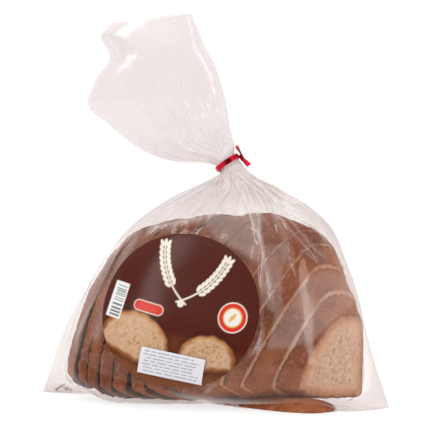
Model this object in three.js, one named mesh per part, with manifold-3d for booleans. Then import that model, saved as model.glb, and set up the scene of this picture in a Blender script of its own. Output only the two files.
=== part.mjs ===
// A sliced half loaf standing in its clear bag: the shut bag as one solid with its gathered neck and open tail,
// the round label on its front, the small sticker on the label, and the twist tie round the neck.
// Millimetres, +Z up. The origin is on the floor, midway between the two bottom corners of the bag.
// -Y is the front, where the label is, and the tail leans towards -X.
import * as THREE from "three";
import { ParametricGeometry } from "three/addons/geometries/ParametricGeometry.js";
import { mergeVertices } from "three/addons/utils/BufferGeometryUtils.js";
import Module from "manifold-3d";

const wasm = await Module();
wasm.setup();

const { PI, abs, cos, sin, sign, hypot } = Math;

// The level rings of the bag, from the floor to the throat. A ring runs from x left to x right at the bag's side
// folds, stands out by front and back from the line through them, fills its box by full, closes at the folds by
// pinch, and is turned by sway, the way it comes forward for each step to the right.
const BODY_RINGS = [
  { z: 0, left: -113, right: 112, front: 12, back: 40, full: 3, pinch: 0.9, sway: 0.34 },
  { z: 2.5, left: -112.5, right: 111.5, front: 27, back: 43, full: 3.2, pinch: 0.9, sway: 0.28 },
  { z: 7, left: -111, right: 110, front: 42, back: 46, full: 3.6, pinch: 0.95, sway: 0.18 },
  { z: 15, left: -108, right: 107, front: 51, back: 48, full: 3.8, pinch: 1, sway: 0.08 },
  { z: 28, left: -104.5, right: 102.5, front: 54, back: 49, full: 4, pinch: 1.1, sway: 0.06 },
  { z: 50, left: -96, right: 96, front: 50, back: 49, full: 4, pinch: 1.2, sway: 0.05 },
  { z: 72, left: -83, right: 90.5, front: 43, back: 48, full: 3.8, pinch: 1.3, sway: 0.04 },
  { z: 94, left: -70, right: 82, front: 35, back: 44, full: 3.4, pinch: 1.4, sway: 0.03 },
  { z: 112, left: -54.5, right: 73.5, front: 27, back: 37, full: 3, pinch: 1.5, sway: 0.02 },
  { z: 126, left: -36, right: 58, front: 18, back: 27, full: 2.6, pinch: 1.6, sway: 0.01 },
  { z: 137, left: -15, right: 38.5, front: 11, back: 17, full: 2.2, pinch: 1.6, sway: 0 },
];
// The rings of the neck and tail, each in its own plane: x and z of its middle, its half width, and the angle
// that its plane has turned from level.
const TAIL_RINGS = [
  { x: 7.5, z: 145.4, half: 11, front: 7, back: 9, full: 2, turn: 12 },
  { x: 6.2, z: 150.6, half: 7, front: 6.5, back: 7, full: 2, turn: 35 },
  { x: 3.9, z: 153.9, half: 7, front: 6.5, back: 7, full: 2, turn: 35 },
  { x: 0.5, z: 157.6, half: 10.5, front: 7.5, back: 8, full: 2.2, turn: 34 },
  { x: -12.5, z: 163, half: 21.5, front: 9.5, back: 9, full: 2.6, turn: 28 },
  { x: -23, z: 171, half: 30, front: 11, back: 9.5, full: 3, turn: 23 },
  { x: -36, z: 185.5, half: 39, front: 12, back: 10, full: 3, turn: 14 },
  { x: -45, z: 198, half: 44, front: 12.5, back: 11, full: 3, turn: 13 },
  { x: -45, z: 210.5, half: 39.5, front: 12, back: 11.5, full: 3, turn: 10 },
  { x: -43, z: 223, half: 31.5, front: 11, back: 11, full: 3, turn: 7 },
  { x: -48, z: 234.5, half: 32.5, front: 9, back: 10, full: 3, turn: 2 },
  { x: -46.5, z: 245, half: 25.5, front: 6, back: 7, full: 2.6, turn: 7 },
];
const NECK = TAIL_RINGS[1]; // where the tie sits, up to the ring after it
const NECK_Y = 4; // the neck stands this far behind the line of the bottom corners
const NECK_FROM_Z = 100; // the rings move back towards the neck above this height
const TAIL_PINCH = 1.6;

const PLEATS = 13; // round the neck
const PLEAT_DEPTH = 1.7; // on the shoulders and at the mouth
const PLEAT_WANDER = 0.35; // how unevenly the pleats are spaced, in radians

const AROUND = 78;
const FOOT_STEPS = 4;
const STEPS_PER_RING = 2; // between one ring and the next, up the wall
const LIP_STEPS = 3;

const LABEL = { width: 101, height: 94, x: -14.8, z: 60 }; // round, and seen less high as it leans back
const LABEL_THICKNESS = 0.6;
const STICKER = { width: 41, height: 16, x: -17, z: 27, turn: -9, thickness: 0.5 };
const CLEARANCE = 0.8; // between the bag, the label and the sticker

const TIE_WIDTH = 3.2;
const TIE_THICKNESS = 0.9;
const TIE_CLEARANCE = 0.8;
const TIE_END_UP = 9.5;
const TIE_END_DOWN = 6.5;

const degrees = THREE.MathUtils.degToRad;

// How far a level ring has gone over to the neck, from 0 to 1.
function towardsNeck(ring) {
  return THREE.MathUtils.smoothstep(ring.z, NECK_FROM_Z, TAIL_RINGS[0].z);
}

// All rings in one form: middle, half width, depths, fullness, pinch, turn, sway and how deep the pleats are.
const rings = [
  ...BODY_RINGS.map((r) => ({
    ...r,
    x: (r.left + r.right) / 2,
    y: NECK_Y * towardsNeck(r),
    half: (r.right - r.left) / 2,
    turn: 0,
    pleat: PLEAT_DEPTH * towardsNeck(r),
  })),
  ...TAIL_RINGS.map((r, i) => ({ ...r, y: NECK_Y, pinch: TAIL_PINCH, sway: 0, pleat: i < 4 ? 0.3 : PLEAT_DEPTH })),
];
const KEYS = ["x", "y", "z", "half", "front", "back", "full", "pinch", "turn", "sway", "pleat"];

// Rings lie at their distance along the bag, so that the curve through them is even.
const along = rings.map(() => 0);
for (let i = 1; i < rings.length; i++) {
  const [a, b] = [rings[i - 1], rings[i]];
  along[i] = along[i - 1] + hypot(b.x - a.x, b.z - a.z, b.half - a.half);
}
const ringCurve = new THREE.CubicInterpolant(along, rings.flatMap((r) => KEYS.map((k) => r[k])), KEYS.length);

// The distance along the bag at a ring number, which may lie between two rings.
function distanceAt(number) {
  const below = Math.min(Math.floor(number), rings.length - 2);
  return THREE.MathUtils.lerp(along[below], along[below + 1], number - below);
}

function ringAt(distance) {
  const values = ringCurve.evaluate(distance);
  return Object.fromEntries(KEYS.map((k, i) => [k, values[i]]));
}

// How far a ring stands out from its own line at a share of its half width, from 0 at the fold to 1.
function standOut(ring, share) {
  return (1 - abs(share) ** ring.full) ** (1 / ring.pinch);
}

// How far a ring's turn moves it back at a share of its half width: nothing at the folds and in the middle.
function swayAt(ring, share) {
  return -ring.sway * ring.half * share * (1 - share ** 4);
}

// The depth of the pleats at an angle round the neck: folded film is sharp outside and round inside.
function pleatAt(angle) {
  const wave = cos(PLEATS * angle + PLEAT_WANDER * PLEATS * sin(2 * angle + 1));
  return 1 - 2 * abs(wave) ** 0.7;
}

// A point of the bag: the angle round it, the distance along it, and how much of the ring's size to take.
function bagPoint(angle, distance, size, target) {
  const ring = ringAt(distance);
  const share = cos(angle);
  const depth = (sin(angle) < 0 ? -ring.front : ring.back) * standOut(ring, share);
  const pleat = ring.pleat * pleatAt(angle) * abs(sin(angle));
  const across = share * ring.half * size;
  const turn = degrees(ring.turn);
  const out = (depth + sign(sin(angle)) * pleat + swayAt(ring, share)) * size;
  return target.set(ring.x + across * cos(turn), ring.y + out, ring.z + across * sin(turn));
}

// A closed solid from a parametric surface, with its doubled points merged and its collapsed faces dropped.
function solid(geometry) {
  for (const name of Object.keys(geometry.attributes)) if (name !== "position") geometry.deleteAttribute(name);
  const merged = mergeVertices(geometry, 1e-3);
  const faces = [];
  for (let i = 0; i < merged.index.count; i += 3) {
    const [a, b, c] = merged.index.array.slice(i, i + 3);
    if (a !== b && b !== c && c !== a) faces.push(a, b, c);
  }
  const mesh = new wasm.Mesh({
    numProp: 3,
    vertProperties: merged.attributes.position.array,
    triVerts: new Uint32Array(faces),
  });
  return new wasm.Manifold(mesh);
}

function geometryOf(manifold) {
  const { vertProperties, triVerts } = manifold.getMesh();
  const geometry = new THREE.BufferGeometry();
  geometry.setAttribute("position", new THREE.BufferAttribute(vertProperties, 3));
  geometry.setIndex(new THREE.BufferAttribute(triVerts, 1));
  geometry.computeVertexNormals();
  return geometry;
}

// The bag: across its foot from the middle, up the wall, along the neck and tail, and over the lip.
function bagGeometry() {
  const wallSteps = STEPS_PER_RING * (rings.length - 1);
  const steps = FOOT_STEPS + wallSteps + LIP_STEPS;
  const surface = new ParametricGeometry(
    (u, v, target) => {
      const step = v * steps;
      const size = Math.min(1, step / FOOT_STEPS, (steps - step) / LIP_STEPS);
      const number = THREE.MathUtils.clamp(step - FOOT_STEPS, 0, wallSteps) / STEPS_PER_RING;
      bagPoint(2 * PI * u, distanceAt(number), size, target);
    },
    AROUND,
    steps,
  );
  return geometryOf(solid(surface));
}

// The front of the bag as a depth over x and z, found by walking up to the height and across to the place.
function frontAt(x, z) {
  let [low, high] = [0, along[BODY_RINGS.length - 1]];
  for (let i = 0; i < 30; i++) {
    const middle = (low + high) / 2;
    if (ringAt(middle).z < z) low = middle;
    else high = middle;
  }
  const ring = ringAt(low);
  const share = (x - ring.x) / ring.half;
  return ring.y - ring.front * standOut(ring, share) + swayAt(ring, share);
}

// A thin plate that lies on the bag's front. rim gives its outline from the middle at each angle.
function plateGeometry(middle, rim, lift, thickness, turns, rows) {
  const back = rows;
  const surface = new ParametricGeometry(
    (u, v, target) => {
      const angle = 2 * PI * u;
      const step = v * (2 * rows + 1);
      const reach = step <= back ? step / rows : (2 * rows + 1 - step) / rows;
      const [dx, dz] = rim(angle);
      const x = middle.x + reach * dx;
      const z = middle.z + reach * dz;
      target.set(x, frontAt(x, z) - lift - (step <= back ? 0 : thickness), z);
    },
    turns,
    2 * rows + 1,
  );
  return geometryOf(solid(surface));
}

function labelGeometry() {
  const rim = (angle) => [(LABEL.width / 2) * cos(angle), (LABEL.height / 2) * sin(angle)];
  return plateGeometry(LABEL, rim, CLEARANCE, LABEL_THICKNESS, 48, 7);
}

function stickerGeometry() {
  const { width, height, turn, thickness } = STICKER;
  const rim = (angle) => {
    const [c, s] = [cos(angle), sin(angle)];
    const reach = Math.min(width / 2 / Math.max(abs(c), 1e-6), height / 2 / Math.max(abs(s), 1e-6));
    const [x, z] = [reach * c, reach * s];
    return [x * cos(degrees(turn)) - z * sin(degrees(turn)), x * sin(degrees(turn)) + z * cos(degrees(turn))];
  };
  return plateGeometry(STICKER, rim, 2 * CLEARANCE + LABEL_THICKNESS, thickness, 32, 5);
}

// A free end of the tie: a flat strip that stands on its middle, curls away from the neck and turns about its length.
function tieEnd(length, direction, curl, turn) {
  const box = new THREE.BoxGeometry(TIE_THICKNESS, TIE_WIDTH, length, 1, 1, 10).translate(0, 0, length / 2);
  const place = box.attributes.position;
  const point = new THREE.Vector3();
  for (let i = 0; i < place.count; i++) {
    point.fromBufferAttribute(place, i);
    const share = point.z / length;
    point.applyAxisAngle(new THREE.Vector3(0, 0, 1), degrees(turn * share));
    place.setXYZ(i, point.x + curl * share ** 2, point.y, point.z);
  }
  return direction > 0 ? box : box.rotateX(PI);
}

// The tie: a band round the neck, a short twist beside it and the two ends that stand off from the twist.
function tieGeometry() {
  const inner = { x: NECK.half + TIE_CLEARANCE, y: (NECK.front + NECK.back) / 2 + TIE_CLEARANCE };
  const outside = 1 + TIE_THICKNESS / inner.x;
  const profile = [
    [1, -TIE_WIDTH / 2],
    [outside, -TIE_WIDTH / 2],
    [outside, TIE_WIDTH / 2],
    [1, TIE_WIDTH / 2],
    [1, -TIE_WIDTH / 2],
  ].map(([r, h]) => new THREE.Vector2(r, h));
  const band = new THREE.LatheGeometry(profile, 40).rotateX(PI / 2).scale(inner.x, inner.y, 1);
  const knot = { x: inner.x + 1.6, z: -TIE_WIDTH / 2 - 0.9 };
  const twist = new THREE.CapsuleGeometry(1.3, 2.6, 4, 10).rotateX(PI / 2).translate(knot.x, 0, knot.z);
  const up = tieEnd(TIE_END_UP, 1, 0.5, 35).translate(knot.x + 1, -0.7, knot.z - 1.2);
  const down = tieEnd(TIE_END_DOWN, -1, 0.8, 70).translate(knot.x + 0.5, 0.5, knot.z);
  return geometryOf([band, twist, up, down].map(solid).reduce((whole, next) => whole.add(next)));
}

function piece(name, geometry, color, roughness, metalness = 0) {
  const mesh = new THREE.Mesh(geometry, new THREE.MeshStandardMaterial({ color, roughness, metalness }));
  mesh.name = name;
  return mesh;
}

const bag = piece("bag", bagGeometry(), 0xe4d8d6, 0.25);
const label = piece("label", labelGeometry(), 0x4a160c, 0.35);
const sticker = piece("sticker", stickerGeometry(), 0xece9ee, 0.5);

const tie = piece("tie", tieGeometry(), 0xc81622, 0.25, 0.6);
tie.position.set((NECK.x + TAIL_RINGS[2].x) / 2, NECK_Y + (NECK.back - NECK.front) / 2, (NECK.z + TAIL_RINGS[2].z) / 2);
tie.rotation.y = -degrees(NECK.turn);

const baggedLoaf = new THREE.Group();
baggedLoaf.add(bag, label, sticker, tie);

export default baggedLoaf;
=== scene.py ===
"""A sliced half loaf in its clear tied bag.

Lengths are in millimetres until they are placed, then in metres.
"""

import math
import random

import bmesh
import bpy
import numpy as np
from mathutils import Matrix, Vector, noise
from mathutils.bvhtree import BVHTree


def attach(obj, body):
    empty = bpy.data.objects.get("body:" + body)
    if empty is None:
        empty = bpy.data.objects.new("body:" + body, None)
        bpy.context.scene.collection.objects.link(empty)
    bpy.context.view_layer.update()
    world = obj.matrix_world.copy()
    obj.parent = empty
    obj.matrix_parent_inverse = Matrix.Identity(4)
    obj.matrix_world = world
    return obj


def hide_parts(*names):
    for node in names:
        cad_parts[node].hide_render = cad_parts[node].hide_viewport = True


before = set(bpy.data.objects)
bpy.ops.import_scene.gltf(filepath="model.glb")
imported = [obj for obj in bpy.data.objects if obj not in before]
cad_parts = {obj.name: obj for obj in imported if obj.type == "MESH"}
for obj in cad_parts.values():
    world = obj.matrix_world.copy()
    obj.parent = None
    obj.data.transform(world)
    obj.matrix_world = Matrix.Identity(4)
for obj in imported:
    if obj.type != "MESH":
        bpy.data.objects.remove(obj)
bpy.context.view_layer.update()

MM = 0.001

# The camera
CAMERA_TURN = math.radians(10)
CAMERA_ROLL = math.radians(1.3)
CAMERA_AWAY = 1.0
CAMERA_HEIGHT = 0.133
AIM_HEIGHT = 0.1184
AIM_LEFT = 0.0013
LENS = 130.5

# The bag: level rings from the floor to the throat, as z, left, right, front, back, full, pinch and sway
BODY_RINGS = [
    (0, -113, 112, 12, 40, 3, 0.9, 0.34),
    (2.5, -112.5, 111.5, 27, 43, 3.2, 0.9, 0.28),
    (7, -111, 110, 42, 46, 3.6, 0.95, 0.18),
    (15, -108, 107, 51, 48, 3.8, 1, 0.08),
    (28, -104.5, 102.5, 54, 49, 4, 1.1, 0.06),
    (50, -96, 96, 50, 49, 4, 1.2, 0.05),
    (72, -83, 90.5, 43, 48, 3.8, 1.3, 0.04),
    (94, -70, 82, 35, 44, 3.4, 1.4, 0.03),
    (112, -54.5, 73.5, 27, 37, 3, 1.5, 0.02),
    (126, -36, 58, 18, 27, 2.6, 1.6, 0.01),
    (137, -15, 38.5, 11, 17, 2.2, 1.6, 0),
]
# The neck and the tail, as x, z, half width, front, back, full and turn
TAIL_RINGS = [
    (7.5, 145.4, 11, 7, 9, 2, 12),
    (6.2, 150.6, 7, 6.5, 7, 2, 35),
    (3.9, 153.9, 7, 6.5, 7, 2, 35),
    (0.5, 157.6, 10.5, 7.5, 8, 2.2, 34),
    (-12.5, 163, 21.5, 9.5, 9, 2.6, 28),
    (-23, 171, 30, 11, 9.5, 3, 23),
    (-36, 185.5, 39, 12, 10, 3, 14),
    (-45, 198, 44, 12.5, 11, 3, 13),
    (-45, 210.5, 39.5, 12, 11.5, 3, 10),
    (-43, 223, 31.5, 11, 11, 3, 7),
    (-48, 234.5, 32.5, 9, 10, 3, 2),
    (-46.5, 245, 25.5, 6, 7, 2.6, 7),
]
THROAT = len(BODY_RINGS)
NECK_Y = 4
NECK_FROM_Z = 100
TAIL_PINCH = 1.6
PLEATS = 13
PLEAT_DEPTH = 1.7
# The first rings of the tail are held by the tie
TIED_RINGS = 4
TIED_PLEAT_DEPTH = 0.3
PLEAT_WANDER = 0.35

# The film's mesh
FILM_AROUND = 340
FILM_FOOT_ROWS = 14
FILM_ROWS_PER_RING = 11.5
EVEN_SPACING = 0.7
NECK_CREASES = 60
FILM_GAP = 2.0
FILM_LOWEST = 0.15
# A point that is farther than this from the loaf's skin isn't in the loaf
DEEPEST = 25
# How often a search for a height in the rings halves its range
HALVINGS = 30
# Creases placed across the front, as start and end across and up it, half width and height
CREASES = [
    ((40, 121), (69, 92), 1.5, 1.1),
    ((45, 121), (71, 94), 1.4, 1.0),
    ((11, 145), (34, 101), 1.7, 1.2),
    ((34, 101), (38, 50), 1.7, 1.2),
    ((18, 140), (29, 120), 1.4, 1.0),
    ((29, 120), (43, 68), 1.5, 1.0),
    ((39, 51), (36, 37), 1.8, 1.0),
    ((38, 42), (3, 10.5), 1.9, 1.1),
    ((-57, 105), (-84, 37), 1.8, 0.9),
    ((-38, 110), (2, 119), 1.5, 0.8),
    ((5, 145), (-40, 118), 1.4, 0.9),
    ((5, 143), (-31, 122), 1.3, 0.8),
    ((21, 141), (55, 126), 1.4, 0.9),
    ((21, 138), (53, 122), 1.3, 0.9),
    ((-33, 180), (-12, 156), 2.2, 1.1),
    ((-21, 189), (-16, 161), 1.8, 1.1),
    ((-12, 188), (-6, 161), 1.6, 0.9),
    ((-3, 195), (1, 162), 1.6, 0.9),
    ((-22, 204), (-22, 189), 1.4, 0.7),
    ((-49, 180), (-48, 163), 1.3, 0.6),
]
# Patches of the film, as how milky they are, how soft their edge is, and their corners on the front
PATCHES = [
    # Right of the label: milky film, partly painted highlight where a reflection lies on the film
    (0.15, 1.5, [(34, 101), (50, 103), (56, 92), (66, 85), (77, 86), (87, 80), (91, 67), (74, 50), (55, 40),
                 (42, 40), (37, 74)]),
    (0.0, 0.8, [(51.5, 103), (61.5, 94), (66.4, 86), (59, 77.5), (51.5, 63), (48, 69), (47.8, 88)]),
    (0.0, 0.8, [(38, 65.5), (43, 61.5), (45, 61.6), (42.8, 46), (39, 37.6), (37.7, 50.7)]),
    (0.2, 2.5, [(-8, 121), (29, 122), (34, 101), (32, 91), (20, 98), (4, 105)]),
    (0.05, 1.2, [(31.4, 124), (41.5, 124), (52, 106), (33.6, 101.4)]),
    (0.16, 2.5, [(-55, 100), (-45, 110), (-58, 74), (-61, 54), (-67, 38), (-72, 40), (-67, 65)]),
    # Along the top left of the bread: milky film, partly a painted highlight streak
    (0.2, 2.0, [(-43, 111.6), (-23, 117), (2, 119.6), (-7, 114), (-32, 109), (-41, 105)]),
    (0.22, 1.5, [(-73, 234), (-66, 232), (-42, 217), (-33, 206), (-30, 200), (-45, 201), (-52, 209),
                 (-68, 219)]),
    (0.05, 1.2, [(-21, 193), (-16, 195), (-13, 178), (-9, 166), (-14, 164), (-20, 176)]),
]
# The part of the front that has bread behind it, as seen from the front
BREAD_SEEN = [
    (-85.3, 20.3), (-82.1, 32.9), (-78.8, 47.6), (-74.8, 64.7), (-69.6, 80.1), (-64.5, 90.6),
    (-59.1, 97.6), (-51.6, 103.3), (-43.1, 111.6), (-32.8, 115.6), (-13.9, 118), (5, 119.7),
    (27.7, 120.3), (44.7, 120.7), (55.8, 116.6), (65.6, 112), (74.1, 106.7), (82.5, 92.5), (91, 72.6),
    (98, 52.9), (100.8, 41.3), (101.2, 12.9), (84, 3), (57.7, -5.3), (26, -3), (-34.2, 4.3),
    (-64.1, 7.1), (-80, 14.1),
]
# Creases start outside the label, by this share of its size, and fade out at both side edges of the film
LABEL_SMOOTH = 1.1
EDGE_SMOOTH = 0.12
# How milky the film is on the bread and beside it, how much of that needs distance, and what folds add,
# which is partly painted highlight along them
MILK_ON_BREAD = 0.003
MILK_STANDING_OFF = 0.01
MILK_BESIDE = 0.17
MILK_BEHIND = 0.5
MILK_AND_HIGHLIGHT_IN_NECK_CREASES = 0.14
MILK_AND_HIGHLIGHT_IN_PLACED_CREASES = 0.26
MILK_GATHERED = 0.88
MILK_MOST = 0.9
# The film's colours, and the heights in metres between which its milk turns to the tail's
FILM_CLEAR = (0.965, 0.94, 0.935, 1)
FILM_GLOSS = (1, 0.97, 0.95, 1)
BODY_MILK = (0.715, 0.62, 0.59, 1)
TAIL_MILK = (0.82, 0.74, 0.75, 1)
TAIL_FROM = (0.145, 0.165)

# The label and the sticker, as in the frame
LABEL = {"width": 101, "height": 94, "x": -14.8, "z": 60, "turn": 0}
LABEL_LIFT = 0.8
LABEL_THICKNESS = 0.6
# The label's print is turned on it, and the printed sheets have points this far apart and are this thick
LABEL_PRINT_TURN = -13
PRINT_STEP = 0.45
PRINT_THICKNESS = 0.35
STICKER = {"width": 41, "height": 16, "x": -17, "z": 27, "turn": -9}

# The loaf: one row for each cut, as x and y of its front corner, depth, height, share of the depth
# where the front reaches the top, how full the front's curve is, how far its foot is lifted, and how
# round its foot is
CUTS = [
    (-92, -24, 85.6, 107.5, 0.69, 1.58, 10.5, 0.26),
    (-84.8, -30.5, 91.6, 113, 0.7, 1.66, 6, 0.26),
    (-77, -36, 95.7, 115.5, 0.71, 1.72, 6.5, 0.28),
    (-68.5, -40.5, 98.2, 117.1, 0.72, 1.76, 2, 0.28),
    (-58.7, -43.5, 101.4, 119.3, 0.736, 1.72, 1.5, 0.3),
    (-48, -45, 104.8, 119.8, 0.75, 1.61, 2, 0.34),
    (-37, -46, 108, 120, 0.77, 1.51, 2, 0.42),
    (-26, -46, 109.5, 121.6, 0.79, 1.49, 2, 0.6),
    (-14, -46, 109.5, 117.6, 0.79, 1.45, 2.5, 0.85),
    (-1.5, -46, 112, 111, 0.771, 1.36, 3, 0.85),
    (11.2, -45.5, 105, 102.8, 0.741, 1.17, 5, 0.6),
    (23.5, -42.5, 93, 89, 0.7, 1.13, 8, 0.4),
    (42, -35, 75.5, 73, 0.66, 1.23, 9, 0.3),
    (57.8, -28, 59, 58, 0.639, 1.39, 9, 0.25),
]
SKEW = math.radians(38)
THROUGH = np.array([math.cos(SKEW), -math.sin(SKEW)])
ALONG_SLICE = np.array([math.sin(SKEW), math.cos(SKEW)])
FOOT_ROUND = (46, 18)
FOOT_FULL = 1.15
BACK_FULL = 4.5
# The back is straight up to this share of the height, and its lower corner has this radius and most lift
BACK_STRAIGHT = 0.72
BACK_CORNER = 4
BACK_LIFT_MOST = 4
# How far each slice is moved back, and how far its top sinks, from a height and over a length
LEAN_DEPTH = 110
DROP_FROM = 20
DROP_OVER = 100
SLICE_BACK = [0, 2.2, 1.5, 2.0, 1.2, 2.0, 1.1, 1.5, 0.8, 0.5, 0.4, 0.2, 0]
SLICE_DROP = [0, 1.2, 0.3, 1.0, 0, 1.0, 0.2, 0.6, 0, 0.3, 0, 0, 0]
# How much higher the left rim of each slice stands than its right one, at the front of its foot
FOOT_TILT = [3, 4, 3, 5, 5, 4, 4, 3, 2, 1, 0, 0, 0]
SLICE_GAP = [1.8, 2.0, 1.8, 1.6, 1.8, 1.5, 1.5, 1.2, 0.9, 0.7, 0.7, 0.7, 0.7]
# How much smaller the left and the right outline of each slice is than the cut's own
LEFT_STEP = [0, 0, 0, 0, 0, 0, 0, 0.3, 0.6, 0.9, 1.3, 2.2, 2.9]
RIGHT_STEP = [1.4, 1.0, 1.2, 1.0, 1.0, 0.8, 0.6, 0, 0, 0, 0, 0, 0]
# Painted shade: how dark each cut face is painted where it faces its neighbour over a narrow gap, in place
# of the shadow in the gap
GAP_SHADE = [0, 0.95, 0.95, 0.95, 0.95, 0.95, 0.9, 0.8, 0.5, 0.15, 0, 0, 0, 0]
OUTLINE_POINTS = 110
# How many times the upper part of each outline is smoothed, and between which heights this sets in
SOFTENED = 6
SOFT_FROM = (18, 36)
# The rim of the cut end is wider by this share of the distance inside it
END_RIM = 0.34
SLICE_VOXEL = 1.25
END_SLICE_VOXEL = 1.0

# The bread's colours, as stops of a ramp or as one colour
CRUST_TONES = [(0.32, (0.175, 0.045, 0.015)), (0.5, (0.295, 0.082, 0.027)), (0.68, (0.42, 0.14, 0.052))]
CRUST_DUST = (0.48, 0.225, 0.125, 1)
CRUST_SPECK = (0.06, 0.018, 0.01, 1)
CRUMB_TONES = [(0.35, (0.60, 0.37, 0.245)), (0.65, (0.81, 0.56, 0.41))]
# Painted shade: the dark tone in the pores of the crumb
PORE_SHADE_TONE = (0.17, 0.07, 0.036, 1)
RIM_TONES = [(0.03, (0.30, 0.12, 0.06)), (0.14, (0.56, 0.27, 0.15)), (0.4, (0.74, 0.43, 0.28))]
RIM_WIDTH = 6.0
# Painted shade: the dark tone put on cut faces that face a neighbour over a narrow gap
PAINTED_GAP_SHADE_TONE = (0.05, 0.016, 0.008, 1)


# Shader helpers


def set_span(node, *ends):
    for key, number in zip(("From Min", "From Max", "To Min", "To Max"), ends):
        node.inputs[key].default_value = number


class Shader:
    """A material's nodes, added one by one and linked by name, or by number where names are shared."""

    def __init__(self, name):
        self.material = bpy.data.materials.new(name)
        self.material.use_nodes = True
        self.tree = self.material.node_tree
        self.tree.nodes.clear()

    def add(self, kind, settings=None, **inputs):
        node = self.tree.nodes.new("ShaderNode" + kind)
        for key, value in (settings or {}).items():
            setattr(node, key, value)
        for key, value in inputs.items():
            self.plug(node, key.replace("_", " "), value)
        return node

    def plug(self, node, key, value):
        socket = node.inputs[int(key)] if key.isdigit() else node.inputs[key]
        if isinstance(value, bpy.types.NodeSocket):
            self.tree.links.new(value, socket)
        else:
            socket.default_value = value

    def coordinates(self):
        return self.add("TexCoord").outputs["Object"]

    def attribute(self, name, output="Fac"):
        return self.add("Attribute", {"attribute_name": name}).outputs[output]

    def noise(self, scale, detail=4.0, roughness=0.5, distortion=0.0):
        where = self.coordinates()
        node = self.add("TexNoise", Vector=where, Scale=scale, Detail=detail, Roughness=roughness)
        node.inputs["Distortion"].default_value = distortion
        return node.outputs["Fac"]

    def cells(self, scale, where=None):
        where = where or self.coordinates()
        return self.add("TexVoronoi", Vector=where, Scale=scale).outputs["Distance"]

    def ramp(self, fac, stops):
        node = self.add("ValToRGB", Fac=fac)
        edge = node.color_ramp.elements
        while len(edge) < len(stops):
            edge.new(0.5)
        for element, (place, colour) in zip(edge, stops):
            element.position = place
            element.color = (*colour, 1)
        return node.outputs["Color"]

    def span(self, value, low, high, to_low=0.0, to_high=1.0):
        node = self.add("MapRange", {"interpolation_type": "SMOOTHSTEP"}, Value=value)
        set_span(node, low, high, to_low, to_high)
        return node.outputs["Result"]

    def maths(self, operation, first, second=0.0, clamp=False):
        node = self.add("Math", {"operation": operation, "use_clamp": clamp})
        self.plug(node, "0", first)
        self.plug(node, "1", second)
        return node.outputs[0]

    def blend(self, fac, first, second, mode="MIX"):
        node = self.add("Mix", {"data_type": "RGBA", "blend_type": mode})
        self.plug(node, "0", fac)
        self.plug(node, "6", first)
        self.plug(node, "7", second)
        return node.outputs[2]

    def mix(self, fac, first, second):
        node = self.add("MixShader")
        self.plug(node, "0", fac)
        self.plug(node, "1", first)
        self.plug(node, "2", second)
        return node.outputs[0]

    def bump(self, height, strength, distance):
        return self.add("Bump", Height=height, Strength=strength, Distance=distance).outputs["Normal"]

    def output(self, surface):
        self.add("OutputMaterial", Surface=surface)
        return self.material


# Mesh helpers


def new_object(name, mesh_source, material):
    mesh = bpy.data.meshes.new(name)
    mesh_source.to_mesh(mesh)
    mesh_source.free()
    piece = bpy.data.objects.new(name, mesh)
    bpy.context.scene.collection.objects.link(piece)
    mesh.materials.append(material)
    return piece


def shade_smooth(piece):
    piece.data.polygons.foreach_set("use_smooth", [True] * len(piece.data.polygons))


def apply_modifiers(piece):
    """Puts what the modifiers make into the piece's own mesh."""
    ready = piece.evaluated_get(bpy.context.evaluated_depsgraph_get())
    mesh = bpy.data.meshes.new_from_object(ready)
    old = piece.data
    mesh.name = old.name
    piece.modifiers.clear()
    piece.data = mesh
    bpy.data.meshes.remove(old)


def vectors_of(rows, key):
    values = np.empty(len(rows) * 3)
    rows.foreach_get(key, values)
    return values.reshape(-1, 3)


def points_of(piece):
    return vectors_of(piece.data.vertices, "co")


def normals_of(piece):
    return vectors_of(piece.data.vertex_normals, "vector")


def set_points(piece, places):
    piece.data.vertices.foreach_set("co", places.reshape(-1))
    piece.data.update()


def set_attribute(piece, name, values):
    layer = piece.data.attributes.new(name, "FLOAT", "POINT")
    layer.data.foreach_set("value", values)


def smoothstep(value, low, high):
    share = np.clip((value - low) / (high - low), 0, 1)
    return share * share * (3 - 2 * share)


def rough(places, size, seed, octaves=3):
    """Soft noise from -1 to 1 at each place, with bumps of a size in millimetres."""
    scale = 1 / (size * MM)
    shift = Vector((seed * 7.3, seed * 3.1, seed * 5.7))
    return np.array([noise.fractal(Vector(p) * scale + shift, 0.8, 2.0, octaves) for p in places])


# The form of the bag, worked out from its rings


def all_rings():
    """The rings of the body and the tail, in one table."""
    rows = []
    for z, left, right, front, back, full, pinch, sway in BODY_RINGS:
        over = float(smoothstep(z, NECK_FROM_Z, TAIL_RINGS[0][1]))
        middle, half = (left + right) / 2, (right - left) / 2
        rows.append((middle, NECK_Y * over, z, half, front, back, full, pinch, 0, sway, PLEAT_DEPTH * over))
    for number, (x, z, half, front, back, full, turn) in enumerate(TAIL_RINGS):
        pleat = TIED_PLEAT_DEPTH if number < TIED_RINGS else PLEAT_DEPTH
        rows.append((x, NECK_Y, z, half, front, back, full, TAIL_PINCH, turn, 0, pleat))
    return np.array(rows, float)


RINGS = all_rings()
# The columns of a ring
X, Y, Z, HALF, FRONT, BACK, FULL, PINCH, TURN, SWAY, PLEAT = range(RINGS.shape[1])
STEPS = np.hypot(np.hypot(np.diff(RINGS[:, X]), np.diff(RINGS[:, Z])), np.diff(RINGS[:, HALF]))
ALONG = np.concatenate([[0], np.cumsum(STEPS)])
LAST_RING = len(RINGS) - 1


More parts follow.
